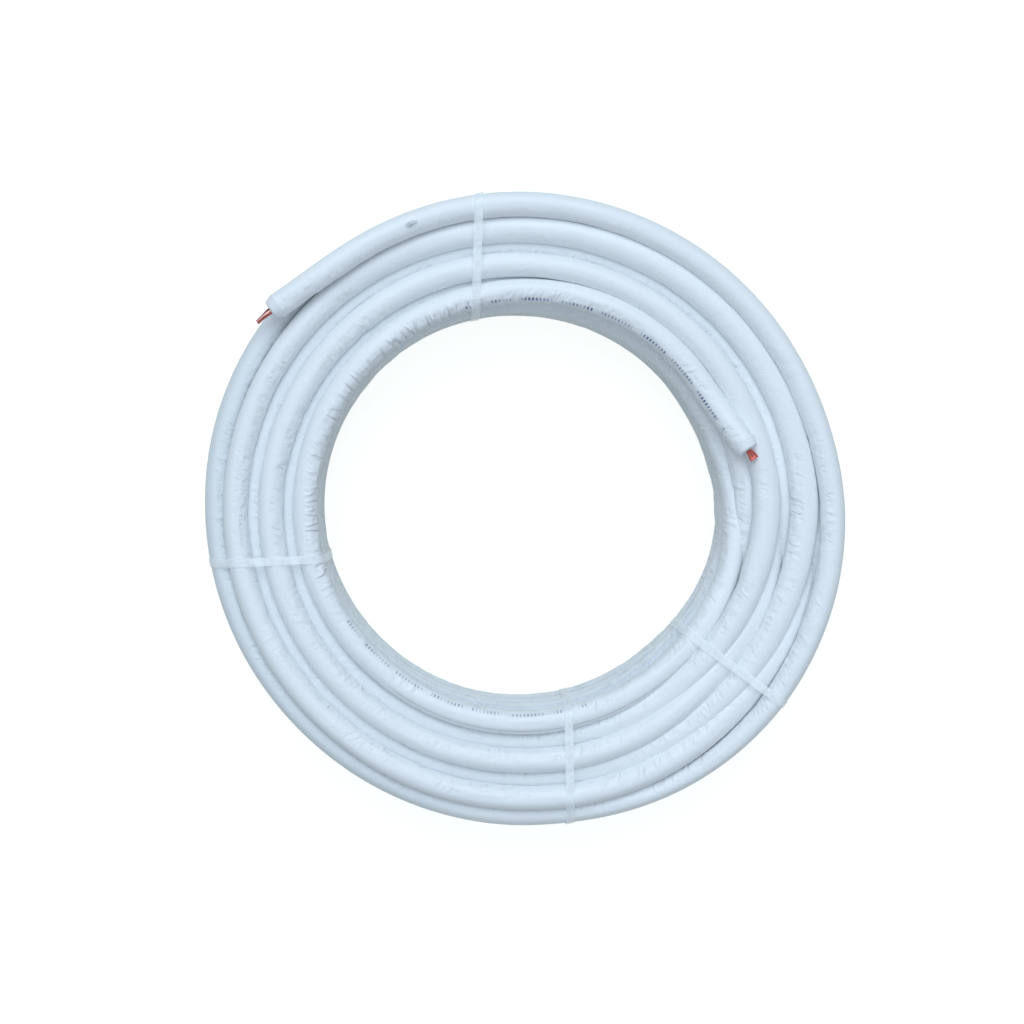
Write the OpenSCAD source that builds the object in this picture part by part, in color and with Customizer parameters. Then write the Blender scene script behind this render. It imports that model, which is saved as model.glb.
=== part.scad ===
// Coil of copper tube in a white foam sleeve, lying flat and held by four plastic straps.
// The coil axis is +Z and the floor is Z = 0. Angles run anticlockwise from +X, seen from above.

/* [Tube] */
// Outside diameter of the copper tube
copper_d = 6.35; // [5:0.05:12]
// Wall of the copper tube
copper_wall = 0.8; // [0.5:0.05:1.2]
// Wall of the foam sleeve, with its film
foam_wall = 9; // [6:0.5:13]

/* [Coil] */
// Diameter of the open middle of the coil
bore_d = 400; // [300:5:600]
// Layers of turns, from the bore outwards
layers = 6; // [4:1:8]
// Turns stacked in each layer
turns = 4; // [3:1:6]
// How far two neighbouring turns press into each other
press = 2; // [1:0.1:3]
// Lean of the line between neighbouring turns of two layers, from the coil axis
nest_angle = 52; // [46:1:58]
// How far the creased film of a bent turn stands off its foam
film_slack = 0.4; // [0.3:0.05:0.8]

/* [Outer end] */
// Angle at which the last turn starts to climb on top of the coil
climb_start = 286; // [284:1:290]
// Angle at which the last turn has reached its height
climb_end = 318; // [312:1:319]
// How far the sleeve bulges at the two knuckles of the last turn
knuckle_swell = 0.2; // [0.1:0.05:0.5]
// Angle at which the outer end leaves the coil in a straight line
outer_leave = 125; // [112:1:150]
// Length of the straight sleeve at the outer end
outer_run = 94; // [70:1:120]
// How far the last turn has sprung up off the coil where it leaves it
outer_lift = 5; // [4:0.5:8]

/* [Inner end] */
// Angle at which the inner end leaves the coil in a straight line
inner_leave = 34; // [20:1:60]
// Length of the straight sleeve at the inner end
inner_run = 76; // [60:1:100]
// Slope of the inner end as it rises over the next turns
inner_slope = 11; // [8:0.5:15]
// Angle at which the first turn starts to sink to the turn below it
sink_start = 327; // [326:1:332]
// Angle at which it has sunk in, past the full turn
sink_end = 372; // [366:1:378]

/* [Copper ends] */
// Length of copper that stands out of the sleeve at the outer end
outer_copper = 15; // [10:0.5:25]
// Length of copper that stands out of the sleeve at the inner end
inner_copper = 11; // [9:0.5:25]
// Length of copper held inside the end of the sleeve
copper_grip = 30; // [15:1:40]
// Length of round copper before it is nipped flat
neck = 2.5; // [1.5:0.5:5]
// Thickness over the nipped end
nip_t = 4; // [3:0.1:4.6]
// Play between the copper and its sleeve
copper_fit = 0.15; // [0.05:0.05:0.3]

/* [Straps] */
// Width of a strap
strap_w = 8.5; // [6:0.5:16]
// Thickness of a strap
strap_t = 0.6; // [0.4:0.1:1.2]
// Gap between a strap and the turns under it
strap_gap = 0.6; // [0.5:0.05:1]

/* [Hidden] */
$fn = 96;
// Each strap: angle round the coil, lean of its run from the radial line, over the last turn or not
STRAPS = [[100.4, -12, true], [191.7, -9, false], [280.3, -9, false], [322.9, 0.7, true]];
// Fall from the round neck to the nipped mouth starts this far inside the neck
nip_root = 1;
// Depth of a thin disc that a hull stretches from or to
disc = 0.2;
// Reach of a cutting shape past the face it cuts
poke = 1;

sleeve_d = copper_d + 2 * foam_wall;
free_r = sleeve_d / 2;
turn_r = free_r + film_slack;
contact = sleeve_d - press;
layer_pitch = contact * sin(nest_angle);
turn_pitch = 2 * contact * cos(nest_angle);
last = layers - 1;
top = turns - 1;
base_z = strap_t + strap_gap + turn_r;
coil_r = layer_r(last);
last_turn_z = turn_z(last, top) + turn_pitch;
last_turn_angle = 360 + outer_leave - climb_end;
mid_r = (layer_r(0) + coil_r) / 2;
nip_w = (PI * (copper_d - copper_wall) - 2 * (nip_t - copper_wall)) / 2 + nip_t;
copper_colour = [0.72, 0.38, 0.28];
sleeve_colour = [0.86, 0.91, 0.97];
strap_colour = [0.80, 0.88, 0.92];

// Radius of the middle of a layer's turns
function layer_r(layer) = bore_d / 2 + turn_r + layer * layer_pitch;
// Height of the middle of a turn: every second layer sits half a pitch lower
function turn_z(layer, turn) = base_z + (turn + (layer % 2 == 0 ? 0.5 : 0)) * turn_pitch;
// Turns that form the outside of the wound section
function on_border(layer, turn) = layer == 0 || layer == last || turn == 0 || turn == top;
// Height of the last turn at an angle round the coil
function last_z(at) = last_turn_z
  + outer_lift / 2 * (1 + sin(at - climb_end - last_turn_angle / 2) / sin(last_turn_angle / 2));
// Distance along a strap's radial line of the point where its leaning run crosses a turn of radius r
function along(r, lean) = sqrt(r * r - pow((r - mid_r) * tan(lean), 2));

// Wound section: the turns at its border round, its inside closed. The first turn, at the top of the
// bore, is left out, because it doesn't go all the way round
module wound_section() {
  for (layer = [0 : last], turn = [0 : top])
    if (on_border(layer, turn) && !(layer == 0 && turn == top))
      translate([layer_r(layer), turn_z(layer, turn)]) circle(r = turn_r);
  polygon(concat(
    [for (layer = [0 : last]) [layer_r(layer), turn_z(layer, 0)]],
    [for (layer = [last : -1 : 1]) [layer_r(layer), turn_z(layer, top)]],
    [[layer_r(0), turn_z(0, top - 1)]]
  ));
}

// Round sleeve bent on a circle of the coil
module bent_sleeve(angle, bend_r, sleeve_r) {
  rotate_extrude(angle = angle) translate([bend_r, 0]) circle(r = sleeve_r);
}

// Plane of a stretch of a turn that rises or sinks evenly between two angles
module on_incline(from, to, z_from, z_to, bend_r) {
  half = (to - from) / 2;
  tilt = asin((z_to - z_from) / (2 * bend_r * sin(half)));
  rotate([0, 0, from + half]) translate([0, 0, (z_from + z_to) / 2]) rotate([tilt, 0, 0])
    rotate([0, 0, -half]) children();
}

// Plane of the last turn, from its seat on the coil to the point where it leaves
module on_last_turn() {
  on_incline(climb_end, 360 + outer_leave, last_turn_z, last_turn_z + outer_lift, coil_r) children();
}

// Bend between two stretches of sleeve, its poles along the tube
module knuckle() {
  sphere(r = turn_r + knuckle_swell);
}

// Last turn: it climbs out of the outer layer, bends at a knuckle and lies on top of the coil
module last_turn() {
  on_incline(climb_start, climb_end, last_turn_z - turn_pitch, last_turn_z, coil_r)
    bent_sleeve(climb_end - climb_start, coil_r, free_r);
  rotate([0, 0, climb_end]) translate([coil_r, 0, last_turn_z]) rotate([90, 0, 0]) knuckle();
  on_last_turn() bent_sleeve(last_turn_angle, coil_r, free_r);
  at_outer_end() knuckle();
}

// First turn: level from the inner end round to a knuckle, where it starts to sink to the turn below
module first_turn() {
  z = turn_z(0, top);
  sunk_r = layer_r(0) + film_slack;
  at_inner_end() knuckle();
  rotate([0, 0, inner_leave]) translate([0, 0, z]) bent_sleeve(sink_start - inner_leave, layer_r(0), turn_r);
  rotate([0, 0, sink_start]) translate([layer_r(0), 0, z]) rotate([90, 0, 0]) knuckle();
  on_incline(sink_start, sink_end, z, z - turn_pitch, sunk_r)
    bent_sleeve(sink_end - sink_start, sunk_r, free_r);
}

// Frame of the outer end: +Z along the straight sleeve, from the point where it leaves the coil
module at_outer_end() {
  on_last_turn() rotate([0, 0, last_turn_angle]) translate([coil_r, 0, 0]) rotate([-90, 0, 0]) children();
}

// Frame of the inner end, in the same way
module at_inner_end() {
  rotate([0, 0, inner_leave]) translate([layer_r(0), 0, turn_z(0, top)])
    rotate([90 - inner_slope, 0, 0]) children();
}

// Bore for the copper in the end of a straight sleeve
module copper_bore(run) {
  translate([0, 0, run - copper_grip - copper_fit])
    cylinder(r = copper_d / 2 + copper_fit, h = copper_grip + copper_fit + poke);
}

// Foam sleeve of the whole tube: the wound turns, the last turn on top and the two free ends
module sleeve() {
  color(sleeve_colour)
  difference() {
    union() {
      rotate_extrude() wound_section();
      first_turn();
      last_turn();
      at_outer_end() cylinder(r = free_r, h = outer_run);
      at_inner_end() cylinder(r = free_r, h = inner_run);
    }
    at_outer_end() copper_bore(outer_run);
    at_inner_end() copper_bore(inner_run);
  }
}

// Flat mouth of a nipped tube, inset by a wall
module nip_mouth(inset) {
  across = nip_w / 2 - nip_t / 2;
  for (side = [-1, 1])
    translate([side * across, 0, 0]) cylinder(r = nip_t / 2 - inset, h = disc, $fn = 32);
}

// End of the copper tube, round inside its sleeve and nipped flat at its tip, tip towards +Z
module nipped_tube(out) {
  color(copper_colour)
  difference() {
    union() {
      translate([0, 0, -copper_grip]) cylinder(d = copper_d, h = copper_grip + neck);
      hull() {
        translate([0, 0, neck - nip_root]) cylinder(d = copper_d - disc, h = disc, $fn = 32);
        translate([0, 0, out - disc]) nip_mouth(0);
      }
    }
    translate([0, 0, -copper_grip - poke]) cylinder(d = copper_d - 2 * copper_wall, h = copper_grip + neck);
    hull() {
      translate([0, 0, neck - 2 * poke]) cylinder(d = copper_d - 2 * copper_wall - disc, h = disc, $fn = 32);
      translate([0, 0, out + disc]) nip_mouth(copper_wall);
    }
  }
}

// Copper at the outer end, its flat standing upright
module copper_outer_end() {
  at_outer_end() translate([0, 0, outer_run]) rotate([0, 0, 90]) nipped_tube(outer_copper);
}

// Copper at the inner end, its flat lying level
module copper_inner_end() {
  at_inner_end() translate([0, 0, inner_run]) nipped_tube(inner_copper);
}

// Turn that a leaning strap goes round, grown by a thickness
module turn_cut(r, z, lean, grow) {
  translate([along(r, lean), z]) circle(r = turn_r + grow, $fn = 48);
}

// Outline of a taut strap round the wound section, grown by a thickness
module taut_outline(place, grow) {
  hull() {
    for (layer = [0 : last], turn = [0, top])
      turn_cut(layer_r(layer), turn_z(layer, turn), place[1], grow);
    if (place[2])
      turn_cut(coil_r, last_z(place[0]), place[1], grow);
  }
}

// Strap pulled round all the turns at its place on the coil, its run slanted but flush with the walls
module strap(place) {
  slant = tan(place[1]);
  color(strap_colour)
  rotate([0, 0, place[0]])
    multmatrix([[1, 0, 0, 0], [slant, 1, 0, -slant * mid_r], [0, 0, 1, 0], [0, 0, 0, 1]])
      rotate([90, 0, 0]) linear_extrude(strap_w, center = true) difference() {
        taut_outline(place, strap_gap + strap_t);
        taut_outline(place, strap_gap);
      }
}

sleeve();
copper_outer_end();
copper_inner_end();
strap(STRAPS[0]);  // strap_1
strap(STRAPS[1]);  // strap_2
strap(STRAPS[2]);  // strap_3
strap(STRAPS[3]);  // strap_4
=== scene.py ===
import math

import bpy
import numpy as np
from mathutils import Matrix, Vector


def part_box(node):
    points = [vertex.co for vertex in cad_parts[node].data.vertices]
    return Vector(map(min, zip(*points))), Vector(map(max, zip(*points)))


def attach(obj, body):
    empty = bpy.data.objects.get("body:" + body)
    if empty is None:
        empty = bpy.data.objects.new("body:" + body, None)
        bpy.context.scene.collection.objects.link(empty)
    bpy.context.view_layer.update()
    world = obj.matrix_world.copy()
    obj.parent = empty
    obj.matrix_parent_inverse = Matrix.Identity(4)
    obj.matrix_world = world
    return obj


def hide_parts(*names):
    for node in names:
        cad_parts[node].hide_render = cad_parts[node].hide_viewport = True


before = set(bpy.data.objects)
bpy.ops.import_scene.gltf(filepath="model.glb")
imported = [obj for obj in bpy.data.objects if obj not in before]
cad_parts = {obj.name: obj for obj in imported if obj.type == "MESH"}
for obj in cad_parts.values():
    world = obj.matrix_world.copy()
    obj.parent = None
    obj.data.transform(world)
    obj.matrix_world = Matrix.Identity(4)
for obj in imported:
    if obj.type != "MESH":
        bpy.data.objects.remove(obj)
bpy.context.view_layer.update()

# Route of the tube.
# One length of soft copper tube in its foam sleeve was wound on a drum in six layers of four turns.
# Each turn is level until it steps to the next one in a crossover, all crossovers at one side.
SLEEVE_R = 0.01218
LAYERS = 6
TURNS = 4
FIRST_LAYER_R = 0.2090
LAYER_PITCH = 0.0171
TURN_PITCH = 0.0275
HIGH_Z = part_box("strap_2")[1][2] - 0.0012 - SLEEVE_R
LOW_Z = HIGH_Z - TURN_PITCH / 2
ROUTE_STEP = 0.002
# The step to the next turn begins between 260 and 320 degrees, and is done a little past the turn's end
STEP_DONE = 28.0

# The coil is not quite round: degrees round it, and how far its turns bulge out there in millimetres
BULGE = [[15, 4.0], [30, 2.6], [45, 1.8], [60, 1.0], [90, 0.6], [120, 1.3], [150, 1.4], [180, 0.8],
         [205, 0], [232, 0.9], [252, 3.4], [270, 5.3], [300, 7.0], [322, 7.5], [345, 6.2],
         [360, 5.5], [375, 4.0], [390, 2.6], [405, 1.8]]
BULGE_SHARE = np.array([1.0, 0.5, 0.65, 0.9, 1.25, 1.0])
FIRST_BULGE = [[60, 0], [200, 0], [232, 0.9], [252, 3.4], [270, 5.0], [300, 6.0], [322, 9.8], [345, 12.4],
               [360, 10.4], [375, 6.0], [390, 2.2], [405, 0]]
OUTER_BULGE = [[15, 5], [60, 2], [100, 5], [128, 8.0], [142, 7.7], [153, 6.8], [165, 5.4],
               [180, 3.2], [200, 1.4], [225, 1.0], [252, 4.4], [270, 7.6], [290, 9.2], [322, 8.5],
               [345, 7], [360, 6], [375, 5], [405, 3]]
WALL_BULGE = [[15, 4.0], [30, 1.2], [45, 0], [60, -2.0], [90, -4.4], [120, -3.3], [150, -2.5], [180, -1.2],
              [220, -1.3], [270, 1.4], [300, 1.8], [322, 2.2], [345, 5.4], [360, 6.2],
              [375, 4.0], [390, 1.2], [405, 0]]
# A turn that is about to sink is pushed out by the one that climbs beside it
PUSHED = [[262, 0], [274, 0.6], [285, 2.4], [300, 3.8], [312, 3.7], [322, 4.2], [332, 6.4],
          [342, 9.0], [352, 7.8], [362, 4.4], [375, 1.2], [390, 0]]
PUSHED_SHARE = np.array([0.54, 0, 1.10, 0, 1.0, 0])


def smooth(x):
    x = np.clip(x, 0.0, 1.0)
    return x * x * (3 - 2 * x)


def through(stations, at):
    """Smooth curve through a few given rows, whose first column is the place along it."""
    rows = np.array(stations, dtype=float)
    place, value = rows[:, 0], rows[:, 1:]
    slope = np.gradient(value, place, axis=0)
    i = np.clip(np.searchsorted(place, at) - 1, 0, len(place) - 2)
    span = (place[i + 1] - place[i])[:, None]
    t = ((at - place[i]) / span[:, 0])[:, None]
    return (
        (2 * t**3 - 3 * t**2 + 1) * value[i]
        + (t**3 - 2 * t**2 + t) * span * slope[i]
        + (3 * t**2 - 2 * t**3) * value[i + 1]
        + (t**3 - t**2) * span * slope[i + 1]
    )


def turn_height(turn):
    layer, stacked = np.divmod(turn, TURNS)
    going_down = HIGH_Z - stacked * TURN_PITCH
    going_up = LOW_Z - (TURNS - 1 - stacked) * TURN_PITCH
    return np.where(layer % 2 == 0, going_down, going_up)


def turn_radius(turn, at):
    layer = turn // TURNS
    bulge = BULGE_SHARE[layer] * through(BULGE, at)[:, 0]
    bulge = np.where(layer == LAYERS - 1, through(OUTER_BULGE, at)[:, 0], bulge)
    bulge = np.where(layer == 0, through(WALL_BULGE, at)[:, 0], bulge)
    bulge = np.where(turn == 0, through(FIRST_BULGE, at)[:, 0], bulge)
    return FIRST_LAYER_R + layer * LAYER_PITCH + bulge / 1000


def turn_middle(turn):
    """Plan offset of a turn's own centre: the drum let the layers slip a little to one side."""
    first = turn < TURNS
    return np.where(first, -0.0064, -0.0051), np.where(first, 0.0017, -0.0039)


def wound_point(wind):
    """Centre of the tube after winding this many degrees, counted from +X in the first turn."""
    turn = np.maximum(np.floor((wind - STEP_DONE) / 360).astype(int), 0)
    at = wind - 360 * turn
    following = np.minimum(turn + 1, LAYERS * TURNS - 1)
    rise = turn_height(following) - turn_height(turn)
    sinking = rise < 0
    step = np.where(rise > 0.75 * TURN_PITCH, smooth((at - 308) / 64), smooth((at - 262) / 72))
    step = np.where(following == LAYERS * TURNS - 1, smooth((at - 316) / 40), step)
    sink = np.where(turn < TURNS, smooth((at - 290) / 95), smooth((at - 302) / 88))
    step = np.where(sinking, sink, step)
    drift_from = np.where(turn < 2 * TURNS, 284, 274)
    climbing_drift = np.clip((at - drift_from) / (362 - drift_from), 0, 1) ** 1.3
    drift = np.where(sinking, smooth((at - 300) / 85), climbing_drift)
    height = turn_height(turn) * (1 - step) + turn_height(following) * step
    radius = turn_radius(turn, at) * (1 - drift) + turn_radius(following, at) * drift
    pushed = PUSHED_SHARE[turn // TURNS] * through(PUSHED, np.clip(at, 262, 390))[:, 0] / 1000
    radius = radius + np.where(sinking, pushed, 0.0)
    x0, y0 = turn_middle(turn)
    x1, y1 = turn_middle(following)
    angle = np.radians(wind)
    x = x0 * (1 - drift) + x1 * drift + radius * np.cos(angle)
    y = y0 * (1 - drift) + y1 * drift + radius * np.sin(angle)
    return np.stack([x, y, height], axis=-1)


def round_coil(stations, at):
    radius, height = through(stations, at).T
    angle = np.radians(at)
    return np.stack([radius * np.cos(angle), radius * np.sin(angle), height], axis=-1)


def polar(wind):
    """Radius and height of the wound route at one place."""
    x, y, z = wound_point(np.array([float(wind)]))[0]
    return [math.hypot(x, y), z]


def straight_end(tip, heading, rise, run):
    """Points of a free end, from its tip back to the bend."""
    level = math.cos(math.radians(rise))
    way = np.array([
        level * math.cos(math.radians(heading)),
        level * math.sin(math.radians(heading)),
        math.sin(math.radians(rise)),
    ])
    return np.array(tip) - np.linspace(0, run, 34)[:, None] * way


wind_first = 112.0
wind_last = 360.0 * (LAYERS * TURNS - 1) + 276.0
wound = wound_point(np.arange(wind_first, wind_last, 0.4))

# The inner end lies on the first turn and leaves it in a straight line that climbs a little
inner_straight = straight_end((0.2210, 0.0565, 0.1243), -55.2, 11.0, 0.065)
inner_stations = [
    [34, 0.2143, HIGH_Z + 0.0015],
    [46, 0.2148, HIGH_Z + 0.0003],
    [62, 0.2152, HIGH_Z],
    [90, 0.2139, HIGH_Z],
    [wind_first] + polar(wind_first),
    [wind_first + 12] + polar(wind_first + 12),
]
inner_bend = round_coil(inner_stations, np.arange(38, wind_first, 0.4))

# The last turn climbs out of the outer layer, lies on top of the coil and ends in a straight line
outer_straight = straight_end((-0.2476, 0.1914, 0.1289), 215.6, 0.4, 0.080)[::-1]
outer_stations = [
    [252] + polar(wind_last - 24),
    [276] + polar(wind_last),
    [300, 0.3134, LOW_Z + 0.0065],
    [320, 0.3136, LOW_Z + 0.0160],
    [338, 0.3102, LOW_Z + 0.0200],
    [360, 0.3054, HIGH_Z + 0.0060],
    [376, 0.3003, HIGH_Z + 0.0056],
    [400, 0.2972, HIGH_Z + 0.0056],
    [425, 0.2964, HIGH_Z + 0.0062],
    [460, 0.2980, HIGH_Z + 0.0105],
    [484, 0.2993, 0.1275],
    [490, 0.3003, 0.1280],
]
outer_bend = round_coil(outer_stations, np.arange(276.0, 483.0, 0.4))


def length_along(points):
    return np.concatenate([[0.0], np.cumsum(np.linalg.norm(np.diff(points, axis=0), axis=1))])


rough = np.concatenate([inner_straight, inner_bend, wound, outer_bend, outer_straight])
rough_length = length_along(rough)
even = np.arange(0.0, rough_length[-1], ROUTE_STEP)
route = np.stack([np.interp(even, rough_length, rough[:, k]) for k in range(3)], axis=-1)
# The stiff copper takes no sharp bend, so the route is eased over a few tube widths
EASE = 0.012
weights = np.exp(-0.5 * (np.arange(-24, 25) * ROUTE_STEP / EASE) ** 2)
weights /= weights.sum()
padded = np.concatenate([
    route[:1] + (route[:1] - route[24:0:-1]),
    route,
    route[-1:] + (route[-1:] - route[-2:-26:-1]),
])
route = np.stack([np.convolve(padded[:, k], weights, mode="valid") for k in range(3)], axis=-1)
route_wind = np.degrees(np.unwrap(np.arctan2(route[:, 1], route[:, 0])))
route_length = length_along(route)

# Sleeve film on the turns.
# The sleeve is soft polyethylene foam in a thin white film. Bent on the drum, the film stays tight on the
# outside of each turn and gathers in small cross folds on the side that faces the bore.
SIDES = 28
FINE, PLAIN, HIDDEN = 0.0018, 0.0036, 0.011

noise_table = np.random.default_rng(41).random((257, 64))


def cloudy(along, around):
    """Smooth noise from 0 to 1 over the film: around is in turns and closes on itself."""
    x = np.mod(along, 256.0)
    y = np.mod(around, 1.0) * 16.0
    i, j = np.floor(x).astype(int), np.floor(y).astype(int)
    u, v = smooth(x - i), smooth(y - j)
    j0, j1 = j % 16, (j + 1) % 16
    low = noise_table[i, j0] * (1 - u) + noise_table[i + 1, j0] * u
    high = noise_table[i, j1] * (1 - u) + noise_table[i + 1, j1] * u
    return low * (1 - v) + high * v


def film_relief(along, around):
    """Height of the film over the plain round sleeve; around is the angle from the outside of the bend."""
    at = np.interp(along, route_length, route_wind) % 360
    # The film lies smoother between about 12 and 130 degrees, and on the first turn up to 208 degrees
    calm = 1 - 0.6 * smooth((at - 12) / 20) * smooth((130 - at) / 20)
    calm = np.where(along < place_of(208), np.minimum(calm, 0.45), calm)
    from_folds = np.abs(around - math.radians(160))
    gathered = smooth((1.25 - from_folds) / 0.85)
    part = around / (2 * math.pi)
    swell = 0.00022 * (cloudy(along / 0.13, part * 0.25 + 0.1) - 0.5)
    patch = smooth((cloudy(along / 0.06 + 31, part * 0.4) - 0.25) / 0.45)
    slant = SLEEVE_R * (around - math.pi) * (0.9 * cloudy(along / 0.3 + 5, part * 0.0) - 0.1)
    fold = cloudy((along + slant) / 0.0068, part * 0.30)
    fold = 1 - np.abs(2 * fold - 1)
    deep = cloudy((along + slant) / 0.021 + 11, part * 0.12)
    deep = np.clip((deep - 0.74) / 0.2, 0, 1)
    return swell + gathered * calm * (0.0010 * patch * (fold - 0.45) - 0.0008 * deep)


# A pressed turn gets this share wider and this share lower
PRESSED_WIDER = 0.15
PRESSED_LOWER = 0.06


def flattened(wind):
    """How far a turn is pressed at a place: above 0 wider than high, below 0 the other way."""
    past_step = (wind + 180) % 360 - 180
    inner_layers = (wind > 360 * TURNS - 60) & (wind < 360 * TURNS * (LAYERS - 1))
    reach = np.where(past_step < 0, 40, 21)
    pressed = np.where(inner_layers, np.exp(-((past_step / reach) ** 2)), 0.0)
    past = wind - 360 * TURNS * (LAYERS - 2)
    pressed = np.maximum(pressed, 0.6 * smooth((past + 10) / 30) * smooth((150 - past) / 40))
    past = wind - 360 * TURNS * LAYERS
    return pressed - smooth((past + 85) / 25) * smooth((-12 - past) / 45)


def swept(name, places, relief):
    """Round skin swept along the route at these lengths, with its lay along and around the tube."""
    centre = np.stack([np.interp(places, route_length, route[:, k]) for k in range(3)], axis=-1)
    ahead = np.gradient(centre, axis=0)
    ahead /= np.linalg.norm(ahead, axis=1)[:, None]
    outward = np.stack([ahead[:, 1], -ahead[:, 0], np.zeros(len(ahead))], axis=-1)
    outward /= np.linalg.norm(outward, axis=1)[:, None]
    upward = np.cross(outward, ahead)
    around = np.arange(SIDES) * 2 * math.pi / SIDES - math.pi / 2
    pressed = flattened(np.interp(places, route_length, route_wind))[:, None]
    grid_along, grid_around = np.meshgrid(places, around, indexing="ij")
    radius = SLEEVE_R + relief(grid_along, grid_around)
    points = (
        centre[:, None, :]
        + (radius * (1 + PRESSED_WIDER * pressed) * np.cos(grid_around))[..., None] * outward[:, None, :]
        + (radius * (1 - PRESSED_LOWER * pressed) * np.sin(grid_around))[..., None] * upward[:, None, :]
    )
    ring = np.arange(len(places) - 1)[:, None] * SIDES
    side = np.arange(SIDES)[None, :]
    beside = (side + 1) % SIDES
    faces = np.stack([ring + side, ring + beside, ring + SIDES + beside, ring + SIDES + side], axis=-1)
    mesh = bpy.data.meshes.new(name)
    first_cap = list(range(SIDES))[::-1]
    last_cap = [len(points) * SIDES - SIDES + k for k in range(SIDES)]
    skin = faces.reshape(-1, 4).tolist() + [first_cap, last_cap]
    mesh.from_pydata(points.reshape(-1, 3).tolist(), [], skin)
    lay = mesh.attributes.new("lay", "FLOAT_VECTOR", "POINT")
    laid = np.stack([grid_along, np.cos(grid_around), np.sin(grid_around)], axis=-1)
    lay.data.foreach_set("vector", laid.astype(np.float32).ravel())
    mesh.polygons.foreach_set("use_smooth", np.ones(len(mesh.polygons), dtype=bool))
    ends = np.empty(len(mesh.edges) * 2, dtype=int)
    mesh.edges.foreach_get("vertices", ends)
    ends = ends.reshape(-1, 2)
    rim = (ends < SIDES).all(axis=1) | (ends >= len(points) * SIDES - SIDES).all(axis=1)
    mesh.edges.foreach_set("use_edge_sharp", rim)
    mesh.update()
    piece = bpy.data.objects.new(name, mesh)
    bpy.context.scene.collection.objects.link(piece)
    return piece


def spaced(start, stop, spacing):
    return np.linspace(start, stop, max(2, int(round((stop - start) / spacing)) + 1))


def place_of(wind):
    return float(np.interp(wind, route_wind, route_length))


def joined_places(pieces):
    return np.concatenate([p if k == len(pieces) - 1 else p[:-1] for k, p in enumerate(pieces)])


# The film of the turns stops under the wraps that close the two ends
UNDER_WRAP = 0.0085
layer_pieces = []
for layer in range(LAYERS):
    stretches = []
    for stacked in range(TURNS):
        turn = layer * TURNS + stacked
        start = place_of(360.0 * turn) if turn else UNDER_WRAP
        final = turn == LAYERS * TURNS - 1
        stop = route_length[-1] - UNDER_WRAP if final else place_of(360.0 * (turn + 1))
        on_top = stacked == (0 if layer % 2 == 0 else TURNS - 1)
        at_bottom = stacked == (TURNS - 1 if layer % 2 == 0 else 0)
        at_wall = layer in (0, LAYERS - 1)
        spacing = FINE if on_top else PLAIN if at_bottom or at_wall else HIDDEN
        stretches.append(spaced(start, stop, spacing))
    piece = swept(f"sleeve_layer_{layer + 1}", joined_places(stretches), film_relief)
    layer_pieces.append(piece)

FILM_LIT = (0.87, 0.89, 0.91, 1)
FILM_DULL = (0.82, 0.85, 0.875, 1)


def new_material(name):
    material = bpy.data.materials.new(name)
    material.use_nodes = True
    nodes, links = material.node_tree.nodes, material.node_tree.links
    return material, nodes, links, nodes["Principled BSDF"]


def math_node(nodes, links, kind, a, b=None, c=None, clamp=False):
    node = nodes.new("ShaderNodeMath")
    node.operation = kind
    node.use_clamp = clamp
    for socket, value in zip(node.inputs, (a, b, c)):
        if value is None:
            continue
        if isinstance(value, (int, float)):
            socket.default_value = value
        else:
            links.new(value, socket)
    return node.outputs[0]


film, nodes, links, shader = new_material("white_film")
lay = nodes.new("ShaderNodeAttribute")
lay.attribute_name = "lay"
parts = nodes.new("ShaderNodeSeparateXYZ")
links.new(lay.outputs["Vector"], parts.inputs[0])
along, outside, upside = parts.outputs


def film_noise(length, across, detail, rough=0.55, offset=0.0, slant=0.0):
    """Noise that lies along the tube: length is its grain along it, across its grain around it."""
    place = nodes.new("ShaderNodeCombineXYZ")
    leaning = math_node(nodes, links, "MULTIPLY_ADD", outside, slant, along)
    links.new(math_node(nodes, links, "MULTIPLY_ADD", leaning, 1 / length, offset), place.inputs[0])
    links.new(math_node(nodes, links, "MULTIPLY", outside, across), place.inputs[1])
    links.new(math_node(nodes, links, "MULTIPLY", upside, across), place.inputs[2])
    grain = nodes.new("ShaderNodeTexNoise")
    grain.inputs["Scale"].default_value = 1.0
    grain.inputs["Detail"].default_value = detail
    grain.inputs["Roughness"].default_value = rough
    links.new(place.outputs[0], grain.inputs["Vector"])
    return grain.outputs["Fac"]


def mixed(factor, plain, changed):
    """Colour that goes from plain to changed; each is a colour or the output of another node."""
    mix = nodes.new("ShaderNodeMix")
    mix.data_type = "RGBA"
    for name, colour in (("A", plain), ("B", changed)):
        if isinstance(colour, tuple):
            mix.inputs[name].default_value = colour
        else:
            links.new(colour, mix.inputs[name])
    links.new(factor, mix.inputs["Factor"])
    return mix.outputs["Result"]


def calc(kind, a, b=None, c=None, clamp=False):
    return math_node(nodes, links, kind, a, b, c, clamp)


def between(value, low, high, soft):
    """1 where the value lies between two limits, with soft edges."""
    rise = calc("MULTIPLY_ADD", value, 1 / soft, -low / soft, clamp=True)
    fall = calc("MULTIPLY_ADD", value, -1 / soft, high / soft, clamp=True)
    return calc("MULTIPLY", rise, fall)


def facing(angle):
    """Cosine of the angle between a place on the tube's skin and this direction round it."""
    across = calc("MULTIPLY", upside, math.sin(math.radians(angle)))
    return calc("MULTIPLY_ADD", outside, math.cos(math.radians(angle)), across)


cloud = film_noise(0.16, 1.2, 3.0)
tint = mixed(calc("MULTIPLY_ADD", cloud, 1.6, -0.55, clamp=True), FILM_LIT, FILM_DULL)

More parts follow.
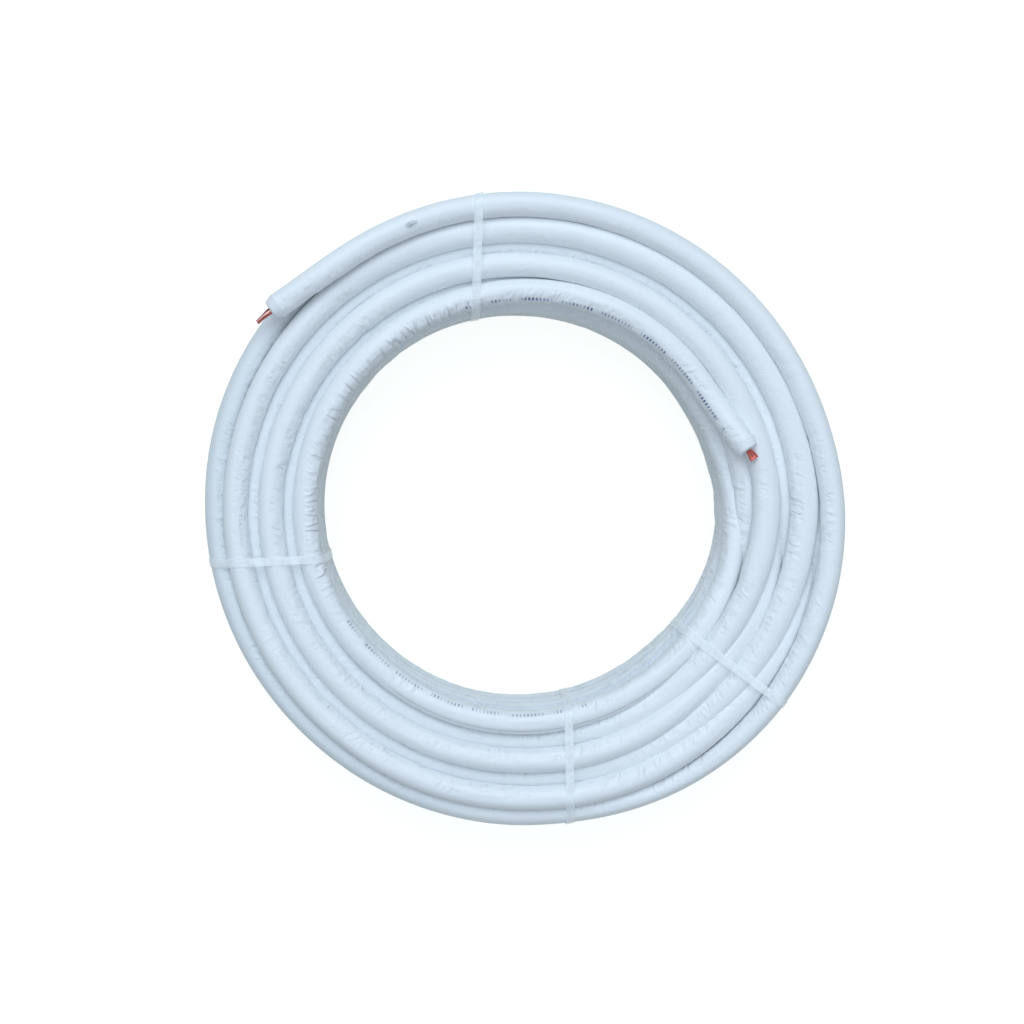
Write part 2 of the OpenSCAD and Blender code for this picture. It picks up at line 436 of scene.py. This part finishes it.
# A row of plain dashes is printed in blue along the first turn, and shows on two stretches of it
PRINT_BLUE = (0.10, 0.14, 0.30, 1)
DASH_PITCH = 0.0038
GROUP_PITCH = 0.043
DASH_EDGE = 0.987
dash = calc("LESS_THAN", calc("FRACT", calc("MULTIPLY", along, 1 / DASH_PITCH)), 0.5)
group = calc("LESS_THAN", calc("FRACT", calc("MULTIPLY", along, 1 / GROUP_PITCH)), 0.80)
line = calc("GREATER_THAN", facing(133), DASH_EDGE)
stretch = calc("MAXIMUM", between(along, place_of(20), place_of(107), 0.002),
               calc("MULTIPLY", between(along, place_of(212), place_of(290), 0.002), 0.6))
worn = calc("MULTIPLY_ADD", film_noise(0.016, 0.2, 1.0, offset=9.0), 3.0, -0.85, clamp=True)
ink = calc("MULTIPLY", calc("MULTIPLY", dash, group), calc("MULTIPLY", line, stretch))
tint = mixed(calc("MULTIPLY", ink, worn), tint, PRINT_BLUE)

# The last turn has one small grey scuff on top
SCUFF_AT = 360.0 * LAYERS * TURNS + 111.7
SCUFF_HALF = 0.008
SCUFF_GREY = (0.30, 0.33, 0.37, 1)
beside = calc("MULTIPLY_ADD", along, 1 / SCUFF_HALF, -place_of(SCUFF_AT) / SCUFF_HALF)
across = calc("MULTIPLY_ADD", facing(98), 16.0, -16.0)
spot = calc("SUBTRACT", calc("ADD", across, 1.0), calc("MULTIPLY", beside, beside), clamp=True)
spot = calc("MULTIPLY", spot, calc("MULTIPLY_ADD", film_noise(0.009, 12.0, 3.0), 4.0, -1.2, clamp=True))
tint = mixed(spot, tint, SCUFF_GREY)

# Painted shade: the grooves between the turns that show on the wall of the bore are painted darker where
# the turns shade each other: from, to, how much
GROOVES = [(560, 705, 0.25), (920, 1065, 0.55), (1280, 1425, 0.55)]
GROOVE_SHADE = (0.38, 0.47, 0.60, 1)
for first, last, share in GROOVES:
    groove_shaded = between(along, place_of(first), place_of(last), 0.1)
    groove_shaded = calc("MULTIPLY", groove_shaded, between(facing(118), 0.90, 2.0, 0.03))
    tint = mixed(calc("MULTIPLY", groove_shaded, share), tint, GROOVE_SHADE)

# Painted shade: the top turns of the layers that lie lower sit down in the grooves and are painted a little
# darker: turn, from, to, how much
LOW_TURNS = [(7, 20, 300, 0.5), (15, 20, 300, 0.5), (23, 60, 262, 0.8)]
LOW_TURN_SHADE = (0.74, 0.78, 0.81, 1)
for turn, first, last, share in LOW_TURNS:
    low_shaded = between(along, place_of(360 * turn + first), place_of(360 * turn + last), 0.1)
    tint = mixed(calc("MULTIPLY", low_shaded, share), tint, LOW_TURN_SHADE)
links.new(tint, shader.inputs["Base Color"])

# Fine folds lie across the tube on the bore side; one weld seam shows on part of the first turn
gathered = calc("MULTIPLY_ADD", facing(140), 1.6, -0.45, clamp=True)


def groove(noise, sharp):
    """Plateaus from 0 to 1 with a narrow groove where the noise goes through its middle."""
    return calc("MINIMUM", calc("MULTIPLY", calc("ABSOLUTE", calc("SUBTRACT", noise, 0.5)), sharp), 1.0)


crinkled = calc("MULTIPLY_ADD", film_noise(0.06, 1.0, 1.0, offset=70.0), 5.0, -1.9, clamp=True)
# The film of the high turns is smoother between 15 and 130 degrees
for turn in (8, 16, 24):
    calm = between(along, place_of(360 * turn + 15), place_of(360 * turn + 130), 0.03)
    crinkled = calc("MULTIPLY", crinkled, calc("MULTIPLY_ADD", calm, -0.65, 1.0))
strokes = calc("MULTIPLY_ADD", film_noise(0.004, 2.0, 0.0, offset=55.0), 4.0, -1.4, clamp=True)
ripple = calc("MULTIPLY", groove(film_noise(0.0052, 0.45, 1.0, slant=0.006), 5.0), strokes)
pucker = groove(film_noise(0.014, 0.40, 0.5, offset=40.0, slant=0.003), 9.0)
folds = calc("MULTIPLY", calc("MULTIPLY_ADD", pucker, 0.6, calc("MULTIPLY", ripple, 0.6)), crinkled)
folds = calc("MULTIPLY", folds, gathered)
# Short creases run across the bore side of the first turn
creases = groove(film_noise(0.008, 0.35, 0.0, offset=90.0, slant=0.001), 9.0)
creased = between(along, place_of(96), place_of(208), 0.03)
creased = calc("MULTIPLY", creased, between(facing(128), 0.72, 2.0, 0.2))
folds = calc("SUBTRACT", folds, calc("MULTIPLY", calc("SUBTRACT", 1.0, creases), creased))
uneven = film_noise(0.008, 2.4, 3.0, offset=20.0)
seam = between(facing(48), 0.994, 2.0, 0.004)
seam = calc("MULTIPLY", seam, between(along, place_of(232), place_of(322), 0.02))
height = calc("MULTIPLY_ADD", uneven, 0.16, calc("MULTIPLY_ADD", seam, 1.5, folds))
bump = nodes.new("ShaderNodeBump")
bump.inputs["Strength"].default_value = 0.9
bump.inputs["Distance"].default_value = 0.0012
links.new(height, bump.inputs["Height"])
links.new(bump.outputs["Normal"], shader.inputs["Normal"])
links.new(calc("MULTIPLY_ADD", cloud, 0.25, 0.32), shader.inputs["Roughness"])

for piece in layer_pieces:
    piece.data.materials.append(film)
    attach(piece, "root")
    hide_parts("sleeve")

# Wrapped ends.
# A turn of the same white film is folded over each cut end and pressed in round the copper, so the end is
# rounded and no foam shows. The loose edge of the wrap lies a few millimetres back on the sleeve.
WRAP_BACK = 0.0080
WRAP_ROUND = 0.0022
WRAP_TAPER = {"outer": 0.0026, "inner": 0.0016}

film_caps = {
    "outer": (route[-1], route[-1] - route[-8]),
    "inner": (route[0], route[0] - route[7]),
}


def grow_from_circle(name, radius, sides, outline):
    """Skin of rings grown from a circle; outline gives each ring's radius and height."""
    bpy.ops.object.select_all(action="DESELECT")
    bpy.ops.mesh.primitive_circle_add(vertices=sides, radius=radius, fill_type="NOTHING")
    piece = bpy.context.object
    piece.name = name
    bpy.ops.object.mode_set(mode="EDIT")
    bpy.ops.mesh.select_all(action="SELECT")
    now_r, now_z = radius, 0.0
    for ring_r, ring_z in outline:
        bpy.ops.mesh.extrude_edges_move()
        bpy.ops.transform.resize(value=(ring_r / now_r, ring_r / now_r, 1), center_override=(0, 0, now_z))
        bpy.ops.transform.translate(value=(0, 0, ring_z - now_z))
        now_r, now_z = ring_r, ring_z
    bpy.ops.mesh.select_all(action="SELECT")
    bpy.ops.mesh.normals_make_consistent(inside=False)
    bpy.ops.object.mode_set(mode="OBJECT")
    return piece


def put_on_end(piece, tip, way, points):
    """Moves points made on +Z at the origin to an end of the tube, and leaves their place in the mesh."""
    way = np.array(way) / np.linalg.norm(way)
    across = np.array([way[1], -way[0], 0.0])
    across /= np.linalg.norm(across)
    third = np.cross(across, way)
    placed = np.array(tip) + points[:, :1] * across + points[:, 1:2] * third + points[:, 2:] * way
    piece.data.vertices.foreach_set("co", placed.ravel())
    piece.data.update()


def points_of(piece):
    points = np.empty(len(piece.data.vertices) * 3)
    piece.data.vertices.foreach_get("co", points)
    return points.reshape(-1, 3)


for end, (tip, way) in film_caps.items():
    wrap_r = SLEEVE_R + 0.0005
    outline = [(wrap_r + 0.0005, 0.0003)]
    taper_z = np.linspace(0.0012, WRAP_BACK - 0.0004, 7)
    outline += [(wrap_r - WRAP_TAPER[end] * (z / WRAP_BACK) ** 1.3, z) for z in taper_z]
    tip_r = wrap_r - WRAP_TAPER[end]
    corner = np.radians(np.linspace(10, 90, 8))
    outline += [
        (tip_r - WRAP_ROUND * (1 - math.cos(c)), WRAP_BACK + WRAP_ROUND * math.sin(c) * 0.8) for c in corner
    ]
    face_z = WRAP_BACK + WRAP_ROUND * 0.8
    outline += [(0.0060, face_z + 0.0002), (0.0048, face_z + 0.0003)]
    outline += [(0.0038, face_z + 0.0006), (0.0031, face_z)]
    piece = grow_from_circle(f"end_wrap_{end}", SLEEVE_R, 64, outline)
    points = points_of(piece)
    around = np.arctan2(points[:, 1], points[:, 0])
    radius = np.hypot(points[:, 0], points[:, 1])
    pucker = cloudy(3.0 + 0.4 * np.sin(points[:, 2] / 0.004), around / (2 * math.pi)) - 0.5
    inward = smooth((SLEEVE_R - radius) / 0.008)
    fold = 0.0008 * pucker * (0.3 + inward)
    points[:, :2] *= (1 + 0.5 * fold / radius)[:, None]
    points[:, 2] += fold - WRAP_BACK - 0.003
    put_on_end(piece, tip, way, points)
    for polygon in piece.data.polygons:
        polygon.use_smooth = True
    lay = piece.data.attributes.new("lay", "FLOAT_VECTOR", "POINT")
    along_cap = np.where(radius > 0.002, points[:, 2], 0.0)
    laid = np.stack([along_cap, np.cos(around) * 0.4, np.sin(around) * 0.4], axis=-1)
    lay.data.foreach_set("vector", laid.astype(np.float32).ravel())
    piece.data.materials.append(film)
    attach(piece, "root")
    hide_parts("sleeve")

# Copper at the two ends.
# The tube is soft drawn copper. Each end was cut with a nipper that pinched the tube flat, so it tapers
# to a blade that is wider one way and thin the other.
COPPER_BRIGHT = (0.72, 0.19, 0.13, 1)
COPPER_DULL = (0.44, 0.08, 0.06, 1)
# Painted shade and painted highlight for the streaks along the pinched blade
COPPER_SHADE = (0.09, 0.015, 0.035, 1)
COPPER_HIGHLIGHT = (1.0, 0.80, 0.74, 1)
COPPER_R = 0.00318

copper, nodes, links, shader = new_material("drawn_copper")
place = nodes.new("ShaderNodeTexCoord")
streak = nodes.new("ShaderNodeTexNoise")
streak.inputs["Scale"].default_value = 420
streak.inputs["Detail"].default_value = 4
links.new(place.outputs["Object"], streak.inputs["Vector"])
stain = math_node(nodes, links, "MULTIPLY_ADD", streak.outputs["Fac"], 2.2, -0.6, clamp=True)
# The fold attribute paints a highlight where it is above 0 and shade where it is below 0, in streaks along
# the blade
fold = nodes.new("ShaderNodeAttribute")
fold.attribute_name = "fold"
shaded = math_node(nodes, links, "MULTIPLY", fold.outputs["Fac"], -1.0, clamp=True)
highlighted = math_node(nodes, links, "MULTIPLY", fold.outputs["Fac"], 1.0, clamp=True)
tint = mixed(stain, COPPER_DULL, COPPER_BRIGHT)
tint = mixed(shaded, tint, COPPER_SHADE)
tint = mixed(highlighted, tint, COPPER_HIGHLIGHT)
links.new(tint, shader.inputs["Base Color"])
shader.inputs["Metallic"].default_value = 0.6
dullness = math_node(nodes, links, "MULTIPLY_ADD", streak.outputs["Fac"], 0.3, 0.20)
links.new(dullness, shader.inputs["Roughness"])

# Length past the wrap, turn of the blade about the tube, sideways bend at the tip, share that is pinched
# away, and streaks of painted highlight and painted shade along the folds: direction round the tube, half
# width in degrees, strength (painted shade below 0)
COPPER_ENDS = {
    "outer": (0.0150, 78.0, -0.0018, 0.36, [(12, 14, 1.0), (-30, 30, -1.0)]),
    "inner": (0.0082, 8.0, 0.0002, 0.52, [(84, 9, -0.7)]),
}
for end, (shown, blade_turn, bend, pinched, light_and_shade_streaks) in COPPER_ENDS.items():
    tip, way = film_caps[end]
    inside = 0.006
    outline = [(COPPER_R, z) for z in np.linspace(0.002, inside + shown, 14)]
    outline += [(0.72 * COPPER_R, inside + shown - 0.0003), (0.69 * COPPER_R, inside + shown - 0.0025)]
    piece = grow_from_circle(f"copper_{end}", COPPER_R, 40, outline)
    points = points_of(piece)
    around = np.degrees(np.arctan2(points[:, 1], points[:, 0]))
    pinch = smooth((points[:, 2] - inside + 0.001) / (shown * 0.8))
    wide = 1 + 0.8 * pinched * pinch
    thin = 1 - pinched * pinch
    narrowing = 1 - 0.6 * np.clip((points[:, 2] - inside) / shown, 0, 1)
    # Streaks of painted highlight and painted shade, kept in the fold attribute
    folds = sum(
        strength * np.exp(-(((around - at) / (half * narrowing)) ** 2)) for at, half, strength in light_and_shade_streaks
    )
    piece.data.attributes.new("fold", "FLOAT", "POINT").data.foreach_set("value", folds.astype(np.float32))
    turned = math.radians(blade_turn)
    x, y = points[:, 0] * wide, points[:, 1] * thin
    side = bend * np.clip((points[:, 2] - inside) / shown, 0, 1) ** 1.4
    points = np.stack([
        x * math.cos(turned) - y * math.sin(turned) + side,
        x * math.sin(turned) + y * math.cos(turned),
        points[:, 2] - inside + 0.0012,
    ], axis=-1)
    put_on_end(piece, tip, way, points)
    bpy.ops.object.shade_smooth_by_angle(angle=math.radians(50))
    piece.data.materials.append(copper)
    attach(piece, "root")
    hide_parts(f"copper_{end}_end")

# Straps.
# Four flat straps of clear plastic are pulled tight round the coil's section and welded. They bridge
# straight from one high turn to the next.
STRAP_W = 0.0085
STRAP_T = 0.0006
STRAP_GAP = 0.0007
STRAPS = [(100.4, -12.0), (191.7, -9.0), (280.3, -9.0), (322.9, 0.7)]


def hull(points):
    """Convex outline of points in a plane, anticlockwise."""
    points = sorted(map(tuple, points))

    def chain(points):
        out = []
        for p in points:
            while len(out) > 1 and (
                (out[-1][0] - out[-2][0]) * (p[1] - out[-2][1])
                - (out[-1][1] - out[-2][1]) * (p[0] - out[-2][0])
            ) <= 0:
                out.pop()
            out.append(p)
        return out[:-1]

    return np.array(chain(points) + chain(points[::-1]))


strap_film, nodes, links, shader = new_material("clear_strap")
shader.inputs["Base Color"].default_value = (0.95, 0.97, 0.98, 1)
# The straps glow faintly: painted light that lifts the shade they cast on the film and the shade on
# themselves
shader.inputs["Emission Color"].default_value = (0.80, 0.91, 1.0, 1)
shader.inputs["Emission Strength"].default_value = 0.08
shader.inputs["Roughness"].default_value = 0.30
place = nodes.new("ShaderNodeTexCoord")
haze = nodes.new("ShaderNodeTexNoise")
haze.inputs["Scale"].default_value = 160
links.new(place.outputs["Object"], haze.inputs["Vector"])
links.new(math_node(nodes, links, "MULTIPLY_ADD", haze.outputs["Fac"], 0.20, 0.24), shader.inputs["Alpha"])

for number, (at, lean) in enumerate(STRAPS, 1):
    angle = math.radians(at)
    radial = np.array([math.cos(angle), math.sin(angle)])
    tangent = np.array([-radial[1], radial[0]])
    middle = FIRST_LAYER_R + LAYER_PITCH * (LAYERS - 1) / 2
    plan = route[:, :2]
    out = plan @ radial
    aside = plan @ tangent - (out - middle) * math.tan(math.radians(lean))
    crossing = np.nonzero((aside[:-1] <= 0) & (aside[1:] > 0) & (out[:-1] > 0))[0]
    disc = np.radians(np.arange(0, 360, 6))
    pressed = flattened(route_wind[crossing])
    half_wide = SLEEVE_R * (1 + PRESSED_WIDER * pressed) + STRAP_GAP
    half_high = SLEEVE_R * (1 - PRESSED_LOWER * pressed) + STRAP_GAP
    outline = hull(np.concatenate([
        np.stack([out[k] + wide * np.cos(disc), route[k, 2] + high * np.sin(disc)], axis=-1)
        for k, wide, high in zip(crossing, half_wide, half_high)
    ]))
    edge = np.roll(outline, -1, axis=0) - np.roll(outline, 1, axis=0)
    normal = np.stack([edge[:, 1], -edge[:, 0]], axis=-1)
    normal /= np.linalg.norm(normal, axis=1)[:, None]
    rings = []
    for lift, half in ((0, -0.5), (0, 0.5), (STRAP_T, 0.5), (STRAP_T, -0.5)):
        line = outline + lift * normal
        side = half * STRAP_W + (line[:, 0] - middle) * math.tan(math.radians(lean))
        flat = line[:, :1] * radial + side[:, None] * tangent
        rings.append(np.concatenate([flat, line[:, 1:]], axis=1))
    points = np.stack(rings, axis=1)
    count = len(outline)
    faces = []
    for k in range(count):
        for corner in range(4):
            a, b = 4 * k + corner, 4 * k + (corner + 1) % 4
            c, d = 4 * ((k + 1) % count) + (corner + 1) % 4, 4 * ((k + 1) % count) + corner
            faces.append((a, b, c, d))
    mesh = bpy.data.meshes.new(f"strap_band_{number}")
    mesh.from_pydata(points.reshape(-1, 3).tolist(), [], faces)
    piece = bpy.data.objects.new(f"strap_band_{number}", mesh)
    bpy.context.scene.collection.objects.link(piece)
    bpy.ops.object.select_all(action="DESELECT")
    piece.select_set(True)
    bpy.context.view_layer.objects.active = piece
    bpy.ops.object.mode_set(mode="EDIT")
    bpy.ops.mesh.select_all(action="SELECT")
    bpy.ops.mesh.normals_make_consistent(inside=False)
    bpy.ops.object.mode_set(mode="OBJECT")
    bpy.ops.object.shade_smooth_by_angle(angle=math.radians(40))
    piece.data.materials.append(strap_film)
    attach(piece, "root")
    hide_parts(f"strap_{number}")

# Floor, light and camera.
# A white floor under soft light from above and from the far side, seen from almost straight above.
bpy.ops.object.select_all(action="DESELECT")
bpy.ops.mesh.primitive_plane_add(size=12)
floor = bpy.context.object
floor.name = "floor"
paper, nodes, links, shader = new_material("white_floor")
shader.inputs["Base Color"].default_value = (0.28, 0.34, 0.30, 1)
shader.inputs["Roughness"].default_value = 0.9
shader.inputs["Specular IOR Level"].default_value = 0.0
glow = nodes.new("ShaderNodeEmission")
seen = nodes.new("ShaderNodeLightPath")
seen_bare = seen.outputs["Is Camera Ray"]
for ray in ("Is Transmission Ray", "Is Glossy Ray"):
    seen_bare = math_node(nodes, links, "MAXIMUM", seen_bare, seen.outputs[ray])
links.new(math_node(nodes, links, "MULTIPLY", seen_bare, 0.86), glow.inputs["Strength"])
both = nodes.new("ShaderNodeAddShader")
links.new(shader.outputs[0], both.inputs[0])
links.new(glow.outputs[0], both.inputs[1])
links.new(both.outputs[0], nodes["Material Output"].inputs["Surface"])
floor.data.materials.append(paper)

world = bpy.data.worlds.new("soft_sky")
world.use_nodes = True
nodes, links = world.node_tree.nodes, world.node_tree.links
seen = nodes.new("ShaderNodeLightPath")
SKY_BLUE = (0.78, 0.89, 1.0, 1)
WHITE = (1, 1, 1, 1)
sky_colour = mixed(seen.outputs["Is Camera Ray"], SKY_BLUE, WHITE)
links.new(sky_colour, nodes["Background"].inputs["Color"])
sky_strength = math_node(nodes, links, "MULTIPLY_ADD", seen.outputs["Is Camera Ray"], 0.64, 0.36)
links.new(sky_strength, nodes["Background"].inputs["Strength"])
bpy.context.scene.world = world


def soft_lamp(name, place, target, size, power):
    lamp = bpy.data.lights.new(name, "AREA")
    lamp.shape = "DISK"
    lamp.size = size
    lamp.energy = power
    lamp.color = SKY_BLUE[:3]
    shown = bpy.data.objects.new(name, lamp)
    bpy.context.scene.collection.objects.link(shown)
    way = np.array(target) - np.array(place)
    shown.location = place
    shown.rotation_euler = Vector(way).to_track_quat("-Z", "Y").to_euler()


soft_lamp("sky", (0, 0, 2.7), (0, 0, 0.1), 6.0, 41)
soft_lamp("key", (-0.65, 5.9, 7.65), (0, 0, 0.1), 8.0, 480)

# The lens looks down from a point a little left of and above the coil's middle in the picture
MM_PER_PIXEL = 0.98
TOP_Z = HIGH_Z + SLEEVE_R
VIEW_FROM = Vector((-0.0657, 0.0842, TOP_Z + 1.87))
VIEW_AT = Vector((-0.0118, -0.0030, TOP_Z))
camera_data = bpy.data.cameras.new("camera")
camera = bpy.data.objects.new("camera", camera_data)
bpy.context.scene.collection.objects.link(camera)
back = (VIEW_FROM - VIEW_AT).normalized()
right = Vector((0, 1, 0)).cross(back).normalized()
above = back.cross(right)
camera.matrix_world = Matrix((
    (right.x, above.x, back.x, VIEW_FROM.x),
    (right.y, above.y, back.y, VIEW_FROM.y),
    (right.z, above.z, back.z, VIEW_FROM.z),
    (0, 0, 0, 1),
))
camera_data.sensor_width = 36
camera_data.lens = 36 * (VIEW_FROM - VIEW_AT).length / (1.024 * MM_PER_PIXEL)
bpy.context.scene.camera = camera
bpy.context.scene.view_settings.view_transform = "Standard"
